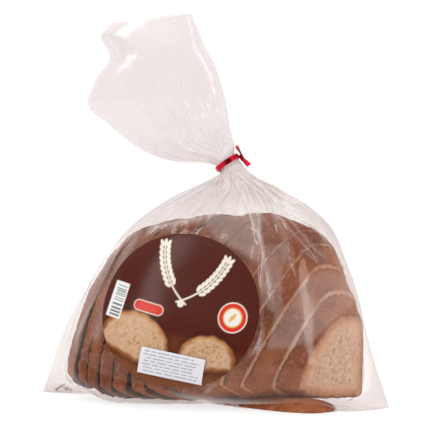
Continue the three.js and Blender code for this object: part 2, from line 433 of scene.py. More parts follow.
def ring_at(number):
    """The ring values at ring numbers, by the same cubic curve through the rings as the solid has."""
    number = np.atleast_1d(np.clip(number, 0, LAST_RING))
    low = np.minimum(number.astype(int), LAST_RING - 1)
    share = (number - low)[:, None]
    step = ALONG[low + 1] - ALONG[low]
    before = np.where(low > 0, ALONG[low] - ALONG[np.maximum(low - 1, 0)], -step)
    after = np.where(low < LAST_RING - 1, ALONG[np.minimum(low + 2, LAST_RING)] - ALONG[low + 1], -step)
    weight_before = (0.5 * step / before)[:, None]
    weight_after = (0.5 * step / after)[:, None]
    previous = RINGS[np.where(low > 0, low - 1, low + 1)]
    following = RINGS[np.where(low < LAST_RING - 1, low + 2, low)]
    square, cube = share**2, share**3
    at_low = (1 + weight_before) * cube - (1.5 + 2 * weight_before) * square
    at_low = at_low + (weight_before - 0.5) * share + 1
    at_high = -(1 + weight_after) * cube + (1.5 + weight_after) * square + 0.5 * share
    return (
        previous * weight_before * (-cube + 2 * square - share)
        + RINGS[low] * at_low
        + RINGS[low + 1] * at_high
        + following * weight_after * (cube - square)
    )


def stand_out(ring, share):
    """The share of its depth that a ring has, at a share of its half width."""
    return (1 - np.abs(share) ** ring[:, FULL]) ** (1 / ring[:, PINCH])


def sway_at(ring, share):
    """How far a ring bends forwards on one side and back on the other."""
    return -ring[:, SWAY] * ring[:, HALF] * share * (1 - share**4)


def pleat_at(angle):
    """The pleats round a ring, from -1 to 1."""
    wave = np.cos(PLEATS * angle + PLEAT_WANDER * PLEATS * np.sin(2 * angle + 1))
    return 1 - 2 * np.abs(wave) ** 0.7


def share_at(angle):
    """The share of the half width at an angle, spaced more evenly than the cosine."""
    folded = np.abs((angle / math.pi) % 2 - 1) * 2 - 1
    return np.clip((1 - EVEN_SPACING) * np.cos(angle) + EVEN_SPACING * folded, -1, 1)


def bag_points(angle, number, size, outward=0.0):
    """Points of the bag in millimetres, at angles round it and ring numbers along it."""
    ring = ring_at(number)
    share = share_at(angle)
    side = np.where(np.sin(angle) < 0, -1.0, 1.0)
    depth = np.where(side < 0, -ring[:, FRONT], ring[:, BACK]) * stand_out(ring, share)
    flatten = 1 - smoothstep(number, THROAT + 3.5, THROAT + 7)
    pleat = ring[:, PLEAT] * flatten * pleat_at(angle) * np.abs(np.sin(angle))
    across = share * ring[:, HALF] * size
    turn = np.radians(ring[:, TURN])
    out = (depth + side * (pleat + outward) + sway_at(ring, share)) * size
    x = ring[:, X] + across * np.cos(turn)
    z = ring[:, Z] + across * np.sin(turn)
    return np.stack([x, ring[:, Y] + out, z], 1)


def front_at(x, z):
    """The depth of the bag's front, in millimetres, at places across and up it."""
    x, z = np.broadcast_arrays(np.atleast_1d(x).astype(float), np.atleast_1d(z).astype(float))
    low, high = np.zeros(len(z)), np.full(len(z), float(THROAT))
    for _ in range(HALVINGS):
        middle = (low + high) / 2
        below = ring_at(middle)[:, Z] < z
        low = np.where(below, middle, low)
        high = np.where(below, high, middle)
    ring = ring_at(low)
    share = (x - ring[:, X]) / ring[:, HALF]
    return ring[:, Y] - ring[:, FRONT] * stand_out(ring, share) + sway_at(ring, share)


# The loaf


def crust_tone(s):
    """Brown crust with broad shades, a dust of flour and dark specks."""
    tone = s.ramp(s.noise(45, 4, 0.55), CRUST_TONES)
    dust = s.span(s.noise(330, 4, 0.7), 0.5, 0.66)
    tone = s.blend(s.maths("MULTIPLY", dust, 0.5), tone, CRUST_DUST)
    dark = s.maths("MULTIPLY", s.span(s.noise(1900, 2, 0.5), 0.52, 0.66), s.span(s.noise(90, 3), 0.4, 0.6))
    return s.blend(s.maths("MULTIPLY", dark, 0.6), tone, CRUST_SPECK)


def crumb_pores(s):
    """Large and small pores, each kind only in patches of its own."""
    large = s.span(s.cells(560), 0.14, 0.36, 1.0, 0.0)
    large = s.maths("MULTIPLY", large, s.span(s.noise(330, 2), 0.44, 0.58))
    small = s.span(s.cells(1150), 0.1, 0.34, 0.8, 0.0)
    small = s.maths("MULTIPLY", small, s.span(s.noise(600, 2), 0.45, 0.6))
    return s.maths("MAXIMUM", large, small)


def bread_material():
    """Crust outside, crumb with a browned rim on the cut faces, and painted shade where two faces are close.
    """
    s = Shader("bread_crust")
    pores = crumb_pores(s)
    crumb = s.ramp(s.noise(320, 4, 0.6), CRUMB_TONES)
    # The pores are darkened: painted shade in the holes of the crumb
    crumb = s.blend(s.maths("MULTIPLY", pores, 0.72), crumb, PORE_SHADE_TONE)
    wobble = s.maths("MULTIPLY", s.maths("SUBTRACT", s.noise(250, 3), 0.5), 1.6)
    inside = s.maths("ADD", s.attribute("inside"), wobble)
    rim = s.ramp(s.maths("DIVIDE", inside, RIM_WIDTH), RIM_TONES)
    cut = s.blend(s.span(inside, 1.5, 4.5), rim, crumb)
    # Painted shade: cut faces that face a neighbour over a narrow gap are darkened to this tone
    cut = s.blend(s.attribute("shade"), cut, PAINTED_GAP_SHADE_TONE)
    colour = s.blend(s.span(s.attribute("cut"), 0.3, 0.7), crust_tone(s), cut)
    grain = s.maths("MULTIPLY", s.noise(900, 3, 0.6), 0.6)
    normal = s.bump(s.maths("ADD", grain, s.maths("MULTIPLY", pores, -0.8)), 0.7, 0.001)
    skin = s.add("BsdfPrincipled", Base_Color=colour, Roughness=0.72, Normal=normal)
    skin.inputs["Specular IOR Level"].default_value = 0.18
    return s.output(skin.outputs[0])


def evenly_spaced(line, count):
    """A closed line with its doubled points left out, walked again in even steps."""
    steps = np.hypot(*np.diff(np.vstack([line, line[:1]]), axis=0).T)
    line = line[np.concatenate([[True], steps[:-1] > 1e-6])]
    closed = np.vstack([line, line[:1]])
    walked = np.concatenate([[0], np.cumsum(np.hypot(*np.diff(closed, axis=0).T))])
    even = np.linspace(0, walked[-1], count, endpoint=False)
    return np.stack([np.interp(even, walked, closed[:, 0]), np.interp(even, walked, closed[:, 1])], 1)


def cut_outline(cut, inset=0.0):
    """The outline of a cut through the loaf as depth and height, anticlockwise from the back of its foot."""
    depth, height, top_share, fullness, lift, foot = cut[2:]
    height = height - inset * 0.7
    under, lip = FOOT_ROUND[0] * foot, FOOT_ROUND[1] * foot
    apex = top_share * depth
    shoulder = BACK_STRAIGHT * height
    turns = np.linspace(0, math.pi / 2, 40)
    cosine, sine = np.cos(turns).clip(0), np.sin(turns)
    back = np.stack([np.full(20, float(depth)), np.linspace(BACK_CORNER, shoulder, 20)], 1)
    round_back = [
        apex + (depth - apex) * cosine ** (2 / BACK_FULL),
        shoulder + (height - shoulder) * sine ** (2 / BACK_FULL),
    ]
    ragged = inset * (0.8 + 0.4 * np.sin(5 * turns + cut[0]))
    front_away = ragged + (apex - ragged) * (1 - sine ** (2 / fullness))
    front = [front_away, lip + (height - lip) * cosine ** (2 / fullness)]
    beneath = [inset + under * (1 - cosine ** (2 / FOOT_FULL)), lip * (1 - sine ** (2 / FOOT_FULL))]
    foot_line = np.stack([np.linspace(under + inset, depth - BACK_CORNER, 24), np.zeros(24)], 1)
    corner = [depth - BACK_CORNER + BACK_CORNER * sine, BACK_CORNER - BACK_CORNER * cosine]
    curves = [np.stack(curve, 1) for curve in (round_back, front, beneath)]
    line = np.vstack([back, *curves, foot_line, np.stack(corner, 1)])
    share = np.clip(line[:, 0] / depth, 0, 1)
    raised = lift * (1 - share) ** 1.5 + min(lift, BACK_LIFT_MOST) * share
    line[:, 1] += raised * np.clip(1 - line[:, 1] / height, 0, 1)
    line = evenly_spaced(line, OUTLINE_POINTS)
    soft = line
    for _ in range(SOFTENED):
        soft = (np.roll(soft, 1, 0) + 2 * soft + np.roll(soft, -1, 0)) / 4
    return line + (soft - line) * smoothstep(line[:, 1:], *SOFT_FROM)


def slice_outlines(number):
    """Both outlines of a slice, from its own front corner, and how thick it is."""
    corner = np.array(CUTS[number][:2], float)
    step = np.array(CUTS[number + 1][:2], float) - corner
    left = cut_outline(CUTS[number], LEFT_STEP[number])
    right = cut_outline(CUTS[number + 1], RIGHT_STEP[number]) + [step @ ALONG_SLICE, 0]
    return left, right, step @ THROUGH


def opening(depth, z):
    """How wide the gap between slices is, as a share: widest at the front of their foot."""
    return np.clip(1.4 - z / 75, 0.45, 1.35) * (1 - 0.6 * np.clip(depth / 90, 0, 1))


def foot_raised(outline, rise):
    """The outline with the front of its foot raised, fading out up the front and along the foot."""
    fade = np.clip(1 - outline[:, 1] / 45, 0, 1) * np.clip(1 - outline[:, 0] / 55, 0, 1)
    return outline + np.stack([0 * fade, rise * fade], 1)


def slice_mesh(number):
    """A slice: its two cut outlines bridged, with the crust between them and a filled face on each."""
    corner = np.array(CUTS[number][:2], float)
    left, right, thickness = slice_outlines(number)
    gap, back, drop = SLICE_GAP[number] / 2, SLICE_BACK[number], SLICE_DROP[number]
    mesh = bmesh.new()
    loops = []
    for outline, side, rise in ((left, -1, FOOT_TILT[number]), (right, 1, 0)):
        verts = []
        for depth, z in foot_raised(outline, rise):
            across = thickness / 2 + side * (thickness / 2 - gap * opening(depth, z))
            x, y = corner + THROUGH * across + ALONG_SLICE * (depth + back * (1 - depth / LEAN_DEPTH))
            lowered = z - drop * max(0, z - DROP_FROM) / DROP_OVER
            verts.append(mesh.verts.new((x * MM, y * MM, lowered * MM)))
        loops.append([mesh.edges.new((a, b)) for a, b in zip(verts, verts[1:] + verts[:1])])
    bmesh.ops.bridge_loops(mesh, edges=loops[0] + loops[1])
    for loop in loops:
        bmesh.ops.contextual_create(mesh, geom=loop)
    bmesh.ops.recalc_face_normals(mesh, faces=mesh.faces[:])
    return mesh


def distance_inside(number, places):
    """How far each point lies inside the slice's outline and from its nearer cut face, in millimetres."""
    left, right, thickness = slice_outlines(number)
    left = foot_raised(left, FOOT_TILT[number])
    gap, back, drop = SLICE_GAP[number] / 2, SLICE_BACK[number], SLICE_DROP[number]
    flat = places[:, :2] / MM - np.array(CUTS[number][:2], float)
    depth = (flat @ ALONG_SLICE - back) / (1 - back / LEAN_DEPTH)
    height = places[:, 2] / MM
    gap = gap * opening(depth, height)
    at = flat @ THROUGH - gap
    width = thickness - 2 * gap
    height = height + drop * np.clip(height - DROP_FROM, 0, None) / DROP_OVER
    share = np.clip(at / width, 0, 1)[:, None]
    here = np.stack([depth, height], 1)
    nearest = np.full(len(places), 1e9)
    for a, b, c, d in zip(left, right, np.roll(left, -1, 0), np.roll(right, -1, 0)):
        start, end = a + (b - a) * share, c + (d - c) * share
        run = end - start
        walk = np.clip(np.sum((here - start) * run, 1) / np.maximum(np.sum(run * run, 1), 1e-9), 0, 1)
        nearest = np.minimum(nearest, np.hypot(*(here - start - run * walk[:, None]).T))
    return nearest, np.clip(np.minimum(at, width - at), 0, None)


def even_out(piece, voxel):
    """Gives a closed piece small faces of even size."""
    remesh = piece.modifiers.new("even", "REMESH")
    remesh.mode = "VOXEL"
    remesh.voxel_size = voxel * MM
    apply_modifiers(piece)


def loaf_slice(number, bread):
    piece = new_object(f"slice_{number + 1:02d}", slice_mesh(number), bread)
    last = number == len(CUTS) - 2
    even_out(piece, END_SLICE_VOXEL if last else SLICE_VOXEL)
    places = points_of(piece)
    inside, edge = distance_inside(number, places)
    cut = smoothstep(inside / (inside + edge + 0.02), 0.3, 0.62)
    at = (places[:, :2] / MM - np.array(CUTS[number][:2], float)) @ THROUGH
    on_right = at > slice_outlines(number)[2] / 2
    # How much painted shade each cut face gets, by the neighbour it faces
    shade = np.where(on_right, GAP_SHADE[number + 1], GAP_SHADE[number])
    lumps = rough(places, 16, number + 1, 2) * 0.9 + rough(places, 4.5, number + 21, 2) * 0.4
    pits = np.minimum(rough(places, 3.2, number + 41, 2), 0) * 0.6
    swell = rough(places, 22, number + 61, 2) * 0.5
    move = lumps * (1 - cut) + (pits + swell) * cut
    above = smoothstep(places[:, 2] / MM, 0.3, 3.0)
    set_points(piece, places + normals_of(piece) * (move * MM * above)[:, None])
    set_attribute(piece, "inside", inside * (END_RIM if last else 1))
    set_attribute(piece, "cut", cut)
    set_attribute(piece, "shade", shade * cut)
    shade_smooth(piece)
    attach(piece, "root")
    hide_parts("bag")


# The end slice that lies flat: its middle, half lengths, turn, thickness, height of its foot and fullness
HEEL = {"x": 38, "y": -14, "long": 46, "wide": 23, "turn": -27, "thick": 7, "foot": 0.5, "full": 2.6}
HEEL_VOXEL = 1.2


def squared_out(x, y, full):
    """How much farther out a point of a round disc lies when the disc is fuller at its corners."""
    far = math.hypot(x, y)
    if far <= 1e-6:
        return 1
    return 1 / max(1e-6, (abs(x) ** full + abs(y) ** full) ** (1 / full)) * far


def heel_slice(bread):
    mesh = bmesh.new()
    bmesh.ops.create_uvsphere(mesh, u_segments=64, v_segments=32, radius=1)
    turn = math.radians(HEEL["turn"])
    for vert in mesh.verts:
        x, y, z = vert.co
        grow = squared_out(x, y, HEEL["full"])
        x, y = x * grow * HEEL["long"], y * grow * HEEL["wide"]
        height = HEEL["thick"] * (max(0, z) ** 0.8)
        vert.co = (
            (HEEL["x"] + x * math.cos(turn) - y * math.sin(turn)) * MM,
            (HEEL["y"] + x * math.sin(turn) + y * math.cos(turn)) * MM,
            (HEEL["foot"] + height) * MM,
        )
    bmesh.ops.remove_doubles(mesh, verts=mesh.verts[:], dist=0.01 * MM)
    bmesh.ops.recalc_face_normals(mesh, faces=mesh.faces[:])
    piece = new_object("heel_slice", mesh, bread)
    even_out(piece, HEEL_VOXEL)
    places = points_of(piece)
    lumps = rough(places, 14, 61, 2) * 0.6 + rough(places, 4, 62, 2) * 0.35
    low = smoothstep(places[:, 2] / MM, 0.6, 2.5)
    set_points(piece, places + normals_of(piece) * (lumps * low * MM)[:, None])
    for name in ("inside", "cut", "shade"):
        set_attribute(piece, name, np.zeros(len(places)))
    shade_smooth(piece)
    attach(piece, "root")
    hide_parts("bag")
    return piece


# Crumbs in the corner, as x, y and z, half length, half thickness and turn
CRUMBS = [
    (-103.5, 8.5, 3.2, 4.0, 0.8, 32),
    (-99.5, 9.5, 2.0, 1.6, 1.0, 80),
    (-102, 12, 1.8, 1.2, 0.8, 10),
    (-106, 6.5, 1.6, 1.2, 0.7, 140),
    (-97, 8, 1.6, 1.0, 0.7, 50),
]


def make_crumbs():
    mesh = bmesh.new()
    for x, y, z, long, thick, turn in CRUMBS:
        shape = Matrix.Translation((x * MM, y * MM, z * MM)) @ Matrix.Rotation(-math.radians(turn), 4, "Y")
        shape @= Matrix.Diagonal((long * MM, thick * MM, thick * MM, 1))
        bmesh.ops.create_icosphere(mesh, subdivisions=4, radius=1, matrix=shape)
    s = Shader("bread_crumb")
    tone = s.ramp(s.noise(700, 3), [(0.35, (0.20, 0.06, 0.025)), (0.65, (0.42, 0.17, 0.08))])
    skin = s.add("BsdfPrincipled", Base_Color=tone, Roughness=0.8)
    piece = new_object("corner_crumbs", mesh, s.output(skin.outputs[0]))
    places = points_of(piece)
    set_points(piece, places + normals_of(piece) * (rough(places, 1.6, 71, 2) * 0.3 * MM)[:, None])
    shade_smooth(piece)
    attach(piece, "root")
    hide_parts("bag")


# The film


def film_material():
    """Clear film, milky by its veil, with a gloss that grows towards its edges."""
    s = Shader("bag_film")
    fine = s.noise(70, 2, 0.45, distortion=0.8)
    drawn_out = s.add("Mapping", Vector=s.coordinates(), Scale=(1, 1, 0.45)).outputs["Vector"]
    facets = s.maths("MULTIPLY", s.cells(105, drawn_out), s.attribute("crumple"))
    normal = s.bump(s.maths("ADD", s.maths("MULTIPLY", fine, 0.25), facets), 0.45, 0.0025)
    smear = s.span(s.noise(28, 3, 0.5), 0.35, 0.65, 0.8, 1.2)
    cover = s.maths("MULTIPLY", s.attribute("veil"), smear, True)
    clear = s.add("BsdfTransparent", Color=FILM_CLEAR)
    up = s.add("SeparateXYZ", Vector=s.coordinates()).outputs["Z"]
    tone = s.blend(s.span(up, *TAIL_FROM), BODY_MILK, TAIL_MILK)
    milk = s.add("BsdfPrincipled", Base_Color=tone, Roughness=0.35, Normal=normal)
    body = s.mix(cover, clear.outputs[0], milk.outputs[0])
    gloss = s.add("BsdfGlossy", Color=FILM_GLOSS, Roughness=0.12, Normal=normal)
    facing = s.add("LayerWeight", Blend=0.5, Normal=normal).outputs["Facing"]
    shine = s.maths("ADD", s.maths("MULTIPLY", s.maths("POWER", facing, 4.0), 0.7), 0.027)
    return s.output(s.mix(shine, body, gloss.outputs[0]))


def film_grid():
    """The film as a flat grid, and the angle, ring number and size of each of its points on the bag."""
    rows = FILM_FOOT_ROWS + int(round(FILM_ROWS_PER_RING * LAST_RING))
    mesh = bmesh.new()
    bmesh.ops.create_grid(mesh, x_segments=FILM_AROUND, y_segments=rows, size=0.5)
    flat = np.array([v.co[:2] for v in mesh.verts]) + 0.5
    row = flat[:, 1] * rows
    angle = 2 * math.pi * flat[:, 0]
    size = np.clip(row / FILM_FOOT_ROWS, 0, 1)
    number = np.clip((row - FILM_FOOT_ROWS) / (rows - FILM_FOOT_ROWS), 0, 1) * LAST_RING
    return mesh, angle, number, size


def ridge(distance, width):
    """A sharp crest with a shallow dip at each side, by the distance from its line."""
    near = np.abs(distance) / width
    return np.clip(1 - near, 0, 1) ** 1.4 - 0.35 * np.clip(1 - np.abs(near - 1.6) / 0.9, 0, 1) ** 2


def neck_creases(angle, number):
    """Creases that fan out from the neck down the body, each with its own length, width and drift."""
    picked = random.Random(11)
    ring = ring_at(number)
    to_throat = ALONG[THROAT] - ALONG[: THROAT + 1]
    below = np.interp(np.minimum(number, THROAT), np.arange(THROAT + 1), to_throat)
    girth = ring[:, HALF] * 4
    height = np.zeros(len(angle))
    for _ in range(NECK_CREASES):
        start = picked.uniform(0, 2 * math.pi)
        drift = picked.gauss(0, 0.0035)
        length = picked.uniform(45, 150)
        width = picked.uniform(1.3, 3.2)
        tall = picked.uniform(0.5, 1.5)
        apart = (angle - start - drift * below + math.pi) % (2 * math.pi) - math.pi
        fade = np.clip(1 - below / length, 0, 1) ** 1.2 * np.clip(below / 12, 0.15, 1)
        height += tall * fade * ridge(apart * girth / (2 * math.pi), width * (0.6 + below / 90))
    return np.where(number < THROAT, height, 0)


def line_distance(x, z, start, end):
    """The distance of each place from a line across the front, and how far along the line it is."""
    run = np.array(end, float) - start
    along = ((x - start[0]) * run[0] + (z - start[1]) * run[1]) / (run @ run)
    held = np.clip(along, 0, 1)
    away = np.hypot(x - start[0] - held * run[0], z - start[1] - held * run[1])
    side = np.sign((x - start[0]) * run[1] - (z - start[1]) * run[0])
    return away * side, along


def placed_creases(places, front):
    height = np.zeros(len(places))
    for start, end, width, tall in CREASES:
        away, along = line_distance(places[:, 0], places[:, 2], start, end)
        taper = np.clip(np.minimum(along, 1 - along) * 6 + 0.5, 0, 1)
        height += tall * taper * ridge(away, width)
    return np.where(front, height, 0)


def loaf_hull(heel):
    """One closed skin round all the slices, and the heel, to keep the film outside them."""
    mesh = bmesh.new()
    rings = []
    for number, cut in enumerate(CUTS):
        outline = cut_outline(cut)
        verts = []
        for depth, z in outline:
            x, y = np.array(cut[:2]) + ALONG_SLICE * depth
            verts.append(mesh.verts.new((x * MM, y * MM, z * MM)))
        rings.append(verts)
    for one, two in zip(rings, rings[1:]):
        for a, b, c, d in zip(one, one[1:] + one[:1], two[1:] + two[:1], two):
            mesh.faces.new((a, b, c, d))
    for ring in (rings[0], rings[-1]):
        mesh.faces.new(ring)
    bmesh.ops.recalc_face_normals(mesh, faces=mesh.faces[:])
    mesh.from_mesh(heel.data)
    bmesh.ops.triangulate(mesh, faces=mesh.faces[:])
    tree = BVHTree.FromBMesh(mesh)
    mesh.free()
    return tree


def push_off(places, tree, gap):
    """Moves points that are in the loaf, or too near it, out to the gap, and gives the distances then."""
    away = np.empty(len(places))
    for number, place in enumerate(places):
        point, normal, _, distance = tree.find_nearest(Vector(place * MM))
        side = (Vector(place * MM) - point).dot(normal)
        inside = side < 0 and distance < DEEPEST * MM
        away[number] = -distance / MM if inside else distance / MM
        if away[number] < gap:
            places[number] = np.array(point + normal * gap * MM) / MM
    return np.maximum(away, gap)


def patch_cover(x, z, corners, soft):
    """How much of a patch covers each place, from its corners."""
    corners = np.array(corners, float)
    inside = np.zeros(len(x), bool)
    nearest = np.full(len(x), 1e9)
    for start, end in zip(corners, np.roll(corners, -1, 0)):
        away, _ = line_distance(x, z, start, end)
        nearest = np.minimum(nearest, np.abs(away))
        crosses = (start[1] > z) != (end[1] > z)
        at = start[0] + (z - start[1]) / ((end[1] - start[1]) or 1e-9) * (end[0] - start[0])
        inside ^= crosses & (x < at)
    return smoothstep(np.where(inside, nearest, -nearest), -soft, soft)


def veil_at(places, number, away, creases, placed, front):
    """How milky the film is: least on the bread, more where it stands off, folds or is gathered, with the
    milk along folds partly painted highlight.
    """
    x, z = places[:, 0], places[:, 2]
    behind = np.maximum(MILK_BEHIND * smoothstep(away, 3, 20), smoothstep(z, 94, 114))
    beside = np.where(front, 1 - patch_cover(x, z, BREAD_SEEN, 2), behind)
    veil = MILK_ON_BREAD + MILK_STANDING_OFF * smoothstep(away, 2, 9)
    veil += MILK_BESIDE * (1 + smoothstep(away, 3, 14)) * beside
    for milk, soft, corners in PATCHES:
        cover = np.where(front, patch_cover(x, z, corners, soft), 0)
        veil += (milk - veil) * cover
    # Folds are milkier: partly whitened film, partly painted highlight on their crests
    veil += MILK_AND_HIGHLIGHT_IN_NECK_CREASES * np.clip(creases, 0, 1.5)
    veil += MILK_AND_HIGHLIGHT_IN_PLACED_CREASES * np.clip(placed, 0, 1.2)
    gathered = smoothstep(number, THROAT - 0.6, THROAT + 0.6)
    gathered = gathered * (1 - smoothstep(number, THROAT + 2, THROAT + 3.4))
    veil += np.clip(MILK_GATHERED - veil, 0, None) * gathered
    return np.clip(veil, 0, MILK_MOST)


def creases_fade(places, angle, front):
    """None of a crease on the label and at the side edges, where the front and the back meet."""
    across = (places[:, 0] - LABEL["x"]) / LABEL["width"]
    up = (places[:, 2] - LABEL["z"]) / LABEL["height"]
    off_label = np.where(front, smoothstep(np.hypot(across, up) * 2, 1.0, LABEL_SMOOTH), 1)
    return off_label * smoothstep(np.abs(np.sin(angle)), 0, EDGE_SMOOTH)


def make_film(heel):
    film = film_material()
    mesh, angle, number, size = film_grid()
    places = bag_points(angle, number, size)
    front = (np.sin(angle) < 0) & (size > 0.99)
    out = bag_points(angle, number, size, 1.0) - places
    fade = creases_fade(places, angle, front)
    creases, placed = neck_creases(angle, number) * fade, placed_creases(places, front) * fade
    places += out * (creases + placed)[:, None]
    away = push_off(places, loaf_hull(heel), FILM_GAP)
    places[:, 2] = np.maximum(places[:, 2], FILM_LOWEST)
    for vert, place in zip(mesh.verts, places):
        vert.co = place * MM
    veil = mesh.verts.layers.float.new("veil")
    crumple = mesh.verts.layers.float.new("crumple")
    milk = veil_at(places, number, away, creases, placed, front)
    above_neck = smoothstep(number, THROAT - 4, THROAT)
    crumpled = above_neck * (1 - smoothstep(number, THROAT + 5, THROAT + 8)) + 0.08
    for vert, value, folds in zip(mesh.verts, milk, crumpled):
        vert[veil], vert[crumple] = value, folds
    bmesh.ops.remove_doubles(mesh, verts=mesh.verts[:], dist=0.02 * MM)
    bmesh.ops.recalc_face_normals(mesh, faces=mesh.faces[:])
    piece = new_object("bag_film", mesh, film)
    shade_smooth(piece)
    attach(piece, "root")
    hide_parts("bag")


# The label, the sticker and the tie


def turned(u, v, middle, turn):
    """Places as across and up from a middle, on axes turned by an angle."""
    c, s = math.cos(math.radians(turn)), math.sin(math.radians(turn))
    return (u - middle[0]) * c + (v - middle[1]) * s, -(u - middle[0]) * s + (v - middle[1]) * c


def disc(u, v, middle, radius, stretch=1.0, turn=0.0):
    across, up = turned(u, v, middle, turn)
    return np.hypot(across / stretch, up) - radius


def block(u, v, middle, width, height, corner=0.0):
    across = np.abs(u - middle[0]) - width / 2 + corner
    up = np.abs(v - middle[1]) - height / 2 + corner
    outside = np.hypot(np.clip(across, 0, None), np.clip(up, 0, None))
    return outside + np.minimum(np.maximum(across, up), 0) - corner


class Print:
    """Ink on a plate: a colour at each point, laid over what is under it."""

    def __init__(self, u, v, ground):
        self.u, self.v = u, v
        self.ink = np.tile(np.array(ground, float), (len(u), 1))
        self.grain = np.zeros(len(u))

    def lay(self, away, colour, soft=0.35, grain=0.0):
        """Lays a colour where the distance outside a shape's edge is below zero, with a soft edge."""
        cover = np.clip(0.5 - away / soft, 0, 1)
        self.ink += (np.array(colour) - self.ink) * cover[:, None]
        self.grain += (grain - self.grain) * cover

    def shape(self, make, *sizes, colour, grain=0.0, **more):
        self.lay(make(self.u, self.v, *sizes, **more), colour, grain=grain)


CREAM = (0.80, 0.72, 0.62)
BACK_PAPER = (0.66, 0.63, 0.60)
RED = (0.62, 0.035, 0.02)
CRUMB = (0.56, 0.35, 0.21)
GOLD = (0.72, 0.42, 0.12)
WHITE = (0.80, 0.78, 0.76)
BAR_INK = (0.10, 0.12, 0.12)
DASH_INK = (0.25, 0.26, 0.30)
CRUST_DARK = np.array((0.28, 0.10, 0.035))
CRUST_LIT = np.array((0.52, 0.25, 0.10))
FOIL = (0.6, 0.01, 0.03, 1)
STALK_LENGTH = 42
STALK_STEPS = 40
GRAIN_EVERY = 3
# The cuts of bread on the label, as middle, radius, stretch and turn
PRINTED_BREAD = [
    ((25, -24), 15.5, 1.2, 14),
    ((-22, -27), 20, 1.2, -12),
]
SEAL_MIDDLE = (34, 5)


def wheat_ear(print_, start, turn, bend):
    """A curved stalk with pairs of grains along its upper part."""
    heading, curve = math.radians(turn), math.radians(bend)
    place = np.array(start, float)
    for step in range(STALK_STEPS):
        share = step / STALK_STEPS
        now = heading + curve * share
        way = np.array([math.cos(now), math.sin(now)])
        print_.shape(disc, tuple(place), 0.6, colour=CREAM)
        if share > 0.3 and step % GRAIN_EVERY == 0:
            side = np.array([-way[1], way[0]])
            for hand in (-1, 1):
                middle = place + side * hand * 2.2 + way * 0.6
                tilt = math.degrees(now) + hand * 28
                print_.shape(disc, tuple(middle), 1.1, colour=CREAM, stretch=2.1, turn=tilt)
        place = place + way * STALK_LENGTH / STALK_STEPS
    print_.shape(disc, tuple(place), 1.1, colour=CREAM, stretch=2.2, turn=turn + bend)


def printed_bread(print_, middle, radius, stretch, turn):
    """A cut of round bread: a soft shadow, a crust that is lighter on top, and crumb with a few holes."""
    u, v = print_.u, print_.v
    up = turned(u, v, middle, turn)[1]
    wave = 0.25 * np.sin(u * 0.8 + radius) + 0.2 * np.sin(v * 1.1)
    flat = -up - radius * 0.45
    shape = np.maximum(disc(u, v, middle, radius, stretch, turn), flat) + wave
    print_.lay(shape, (0.03, 0.008, 0.004), 7)
    print_.lay(shape, (0.16, 0.05, 0.016), 0.6, 0.7)
    lit = smoothstep(up, 0, radius)[:, None]
    print_.lay(shape + 0.9, CRUST_DARK * (1 - lit) + CRUST_LIT * lit, 1.2, 0.7)
    print_.lay(np.maximum(shape + 2.6, flat + 1.6), CRUMB, 1.4, 0.8)
    picked = random.Random(int(radius * 10))
    for _ in range(26):
        far, way = radius * 0.78 * math.sqrt(picked.random()), picked.uniform(0, math.pi)
        place = (middle[0] + far * math.cos(way) * stretch, middle[1] + far * math.sin(way) * 0.9)
        hole = disc(u, v, place, picked.uniform(0.3, 0.8), 1.6, picked.uniform(0, 180))
        print_.lay(hole, (0.42, 0.21, 0.09), 0.7)


def paint_label(u, v):
    """Dark brown above, a warm board with bread below, and generic things between them."""
    made = Print(u, v, (0.075, 0.013, 0.007))
    board = -17 - v + 1.6 * np.sin(u / 15)
    made.lay(-board, (0.15, 0.042, 0.014), 9, 0.3)
    made.shape(block, (0, -41), 110, 14, colour=(0.19, 0.058, 0.02), grain=0.35)
    wheat_ear(made, (3, 5), 152, -52)
    wheat_ear(made, (-3, 5), 28, 52)
    made.shape(disc, (0, 4.5), 2.1, colour=CREAM)
    for middle, radius, stretch, turn in PRINTED_BREAD:
        printed_bread(made, middle, radius, stretch, turn)
    for radius, colour in ((9.2, CREAM), (8.5, RED), (6.0, GOLD), (5.2, (0.78, 0.75, 0.72))):
        made.shape(disc, SEAL_MIDDLE, radius, colour=colour)
    made.shape(disc, SEAL_MIDDLE, 1.2, colour=GOLD, stretch=2.6, turn=60)
    made.shape(block, (-19, -3), 20, 6.8, 3.4, colour=CREAM)
    made.shape(block, (-19, -3), 19, 5.8, 2.9, colour=RED)
    made.shape(block, (-40.5, -4), 10, 22, 0.6, colour=WHITE)
    picked = random.Random(5)
    up = -13.2
    while up < 5.5:
        thick = picked.choice((0.5, 0.7, 1.1))
        made.shape(block, (-39.9, up), 7.0, thick, colour=BAR_INK)
        up += thick + picked.choice((0.6, 0.9, 1.3))
    return made


def paint_sticker(u, v):
    """White paper with rows of grey dashes."""
    made = Print(u, v, (0.74, 0.72, 0.76))
    picked = random.Random(8)
    for row in range(7):
        up = 6.1 - row * 2.0
        at = -18.5 + picked.uniform(0, 2.5)
        end = 18.5 - picked.uniform(0, 5)
        while at < end:
            run = min(picked.uniform(2.5, 8), end - at)
            made.shape(block, (at + run / 2, up), run, 0.55, 0.25, colour=DASH_INK)
            at += run + picked.uniform(0.7, 1.3)
    return made


def print_material(name, roughness):
    s = Shader(name)
    crumbs = s.maths("SUBTRACT", s.span(s.noise(620, 3, 0.6), 0.36, 0.66, 0.84, 1.1), 1.0)
    shade = s.maths("ADD", s.maths("MULTIPLY", crumbs, s.attribute("grain")), 1.0)
    tone = s.blend(1.0, s.attribute("ink", "Color"), shade, "MULTIPLY")
    ripple = s.bump(s.noise(22, 2, 0.4), 0.35, 0.004)
    skin = s.add("BsdfPrincipled", Base_Color=tone, Roughness=roughness, Normal=ripple)
    skin.inputs["Specular IOR Level"].default_value = 0.12
    return s.output(skin.outputs[0])


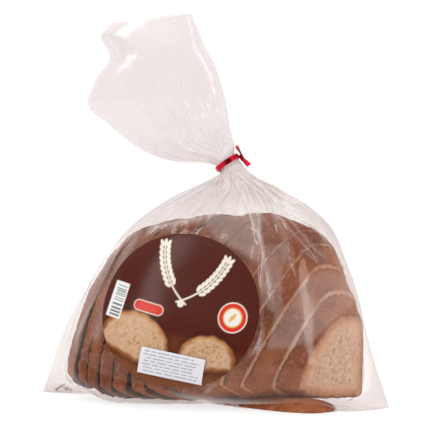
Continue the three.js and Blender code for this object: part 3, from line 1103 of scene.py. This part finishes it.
def plate(name, sizes, lift, print_turn, oval, paint, finish):
    """A thin printed sheet that lies along the front of the bag, painted point by point."""
    mesh = bmesh.new()
    columns, rows = int(sizes["width"] / PRINT_STEP), int(sizes["height"] / PRINT_STEP)
    bmesh.ops.create_grid(mesh, x_segments=columns, y_segments=rows, size=1)
    flat = np.array([v.co[:2] for v in mesh.verts])
    if oval:
        reach = np.max(np.abs(flat), 1)
        flat = flat * (reach / np.maximum(np.hypot(*flat.T), 1e-9))[:, None]
    u, v = flat[:, 0] * sizes["width"] / 2, flat[:, 1] * sizes["height"] / 2
    across, up = turned(u, v, (0, 0), -sizes["turn"])
    x, z = sizes["x"] + across, sizes["z"] + up
    y = front_at(x, z) - lift
    painted = paint(*turned(u, v, (0, 0), print_turn))
    ink = mesh.verts.layers.float_vector.new("ink")
    grain = mesh.verts.layers.float.new("grain")
    for number, vert in enumerate(mesh.verts):
        vert.co = (x[number] * MM, y[number] * MM, z[number] * MM)
        vert[ink] = painted.ink[number]
        vert[grain] = painted.grain[number]
    piece = new_object(name + "_print", mesh, finish)
    edge = piece.modifiers.new("thickness", "SOLIDIFY")
    edge.thickness = PRINT_THICKNESS * MM
    edge.offset = -1
    apply_modifiers(piece)
    layer = piece.data.attributes["ink"].data
    colours = vectors_of(layer, "vector")
    colours[normals_of(piece)[:, 1] > 0.5] = BACK_PAPER
    layer.foreach_set("vector", colours.reshape(-1))
    shade_smooth(piece)
    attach(piece, "root")
    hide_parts(name)


def foil_material():
    s = Shader("tie_foil")
    normal = s.bump(s.noise(700, 3), 0.15, 0.0002)
    tone = s.blend(s.span(s.noise(60), 0.3, 0.7), FOIL, (*[c * 0.85 for c in FOIL[:3]], 1))
    skin = s.add("BsdfPrincipled", Base_Color=tone, Roughness=0.22, Metallic=1.0, Normal=normal)
    return s.output(skin.outputs[0])


def dress_node(name, finish):
    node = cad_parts[name]
    node.data.materials.clear()
    node.data.materials.append(finish)


# The room

# Lamps, as place, width, height and power, all aimed at one place
LAMPS = {
    "key": ((-0.8, -1.1, 1.1), 0.5, 0.9, 10),
    "fill": ((1.3, -0.9, 0.8), 0.3, 1.2, 6.5),
    "top": ((0.1, 0.1, 1.5), 1.2, 0.8, 4),
}
LAMP_AIM = (0, 0, 0.1)
SUN_FROM = (-0.5, -0.8, 2)
SUN_POWER = 0.7
SUN_SPREAD = math.radians(80)
# The world's light, from how far back and front it changes, and how strong it is there
WORLD_SPAN = (-0.5, 0.2, 0.2, 1.02)
FLOOR_TONE = (0.26, 0.26, 0.26, 1)
FLOOR_GLOW = 0.74


def look_from(place, aim, roll):
    direction = (aim - place).normalized()
    turn = direction.to_track_quat("-Z", "Y").to_matrix().to_4x4()
    return Matrix.Translation(place) @ turn @ Matrix.Rotation(roll, 4, "Z")


def make_camera():
    back = Vector((math.sin(CAMERA_TURN), -math.cos(CAMERA_TURN), 0))
    right = Vector((math.cos(CAMERA_TURN), math.sin(CAMERA_TURN), 0))
    place = back * CAMERA_AWAY + Vector((0, 0, CAMERA_HEIGHT))
    aim = Vector((0, 0, AIM_HEIGHT)) - right * AIM_LEFT
    data = bpy.data.cameras.new("camera")
    data.lens = LENS
    data.sensor_width = 36
    data.clip_start = 0.05
    camera = bpy.data.objects.new("camera", data)
    camera.matrix_world = look_from(place, aim, CAMERA_ROLL)
    bpy.context.scene.collection.objects.link(camera)
    bpy.context.scene.camera = camera


def make_floor():
    mesh = bmesh.new()
    bmesh.ops.create_circle(mesh, cap_ends=True, segments=64, radius=6)
    s = Shader("floor_paint")
    skin = s.add("BsdfPrincipled", Base_Color=FLOOR_TONE, Roughness=0.9)
    skin.inputs["Emission Color"].default_value = (1, 1, 1, 1)
    skin.inputs["Emission Strength"].default_value = FLOOR_GLOW
    floor = new_object("floor", mesh, s.output(skin.outputs[0]))


def hang_light(name, data, place, aim):
    light = bpy.data.objects.new(name, data)
    light.matrix_world = look_from(Vector(place), Vector(aim), 0)
    bpy.context.scene.collection.objects.link(light)


def make_world():
    """White light from all sides, weaker from the front."""
    world = bpy.data.worlds.new("studio")
    world.use_nodes = True
    tree = world.node_tree
    split = tree.nodes.new("ShaderNodeSeparateXYZ")
    sides = tree.nodes.new("ShaderNodeTexCoord")
    ramp = tree.nodes.new("ShaderNodeMapRange")
    ramp.interpolation_type = "SMOOTHSTEP"
    set_span(ramp, *WORLD_SPAN)
    tree.links.new(sides.outputs["Generated"], split.inputs[0])
    tree.links.new(split.outputs["Y"], ramp.inputs["Value"])
    tree.links.new(ramp.outputs["Result"], tree.nodes["Background"].inputs[1])
    tree.nodes["Background"].inputs[0].default_value = (1, 1, 1, 1)
    bpy.context.scene.world = world


def make_lights():
    for name, (place, width, height, power) in LAMPS.items():
        data = bpy.data.lights.new(name, "AREA")
        data.shape = "RECTANGLE"
        data.size, data.size_y = width, height
        data.energy = power
        hang_light(name, data, place, LAMP_AIM)
    data = bpy.data.lights.new("floor_light", "SUN")
    data.energy = SUN_POWER
    data.angle = SUN_SPREAD
    hang_light("floor_light", data, SUN_FROM, (0, 0, 0))


scene = bpy.context.scene
scene.view_settings.view_transform = "Standard"
make_camera()
make_floor()
make_world()
make_lights()

bread = bread_material()
for number in range(len(CUTS) - 1):
    loaf_slice(number, bread)
heel = heel_slice(bread)
make_crumbs()
make_film(heel)
label_print = print_material("label_print", 0.22)
plate("label", LABEL, LABEL_LIFT, LABEL_PRINT_TURN, True, paint_label, label_print)
sticker_paper = print_material("sticker_paper", 0.5)
plate("sticker", STICKER, 2 * LABEL_LIFT + LABEL_THICKNESS, 0, False, paint_sticker, sticker_paper)
dress_node("tie", foil_material())
